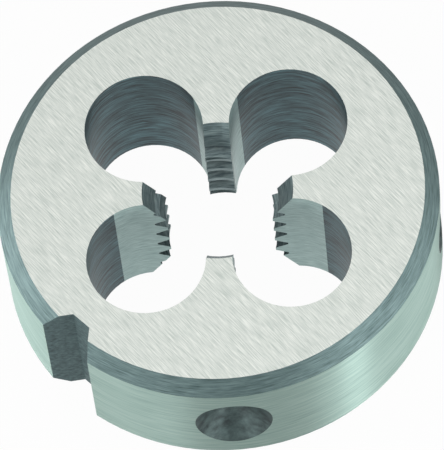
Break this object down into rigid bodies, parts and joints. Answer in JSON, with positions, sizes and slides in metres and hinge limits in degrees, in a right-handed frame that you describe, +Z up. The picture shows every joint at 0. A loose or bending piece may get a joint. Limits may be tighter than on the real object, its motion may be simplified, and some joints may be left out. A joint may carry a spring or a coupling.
{
  "type": "round threading die",
  "caption": "Round steel disc die that cuts an external metric thread, with chip holes, cutting lands, a setting notch and rim dimples.",
  "frame": {"origin": "on the thread axis, in the plane of the lower face", "axes": "+Z up along the thread axis; the four cutting lands are centred on +X, +Y, -X and -Y, and the setting notch is midway between -X and -Y"},
  "size_m": [0.02, 0.02, 0.007],
  "materials": {
    "tool_steel": "ground faces and rim, drilled and cut inside, bare hardened steel"
  },
  "bodies": {
    "root": {"round_die": "tool_steel"}
  },
  "joints": []
}
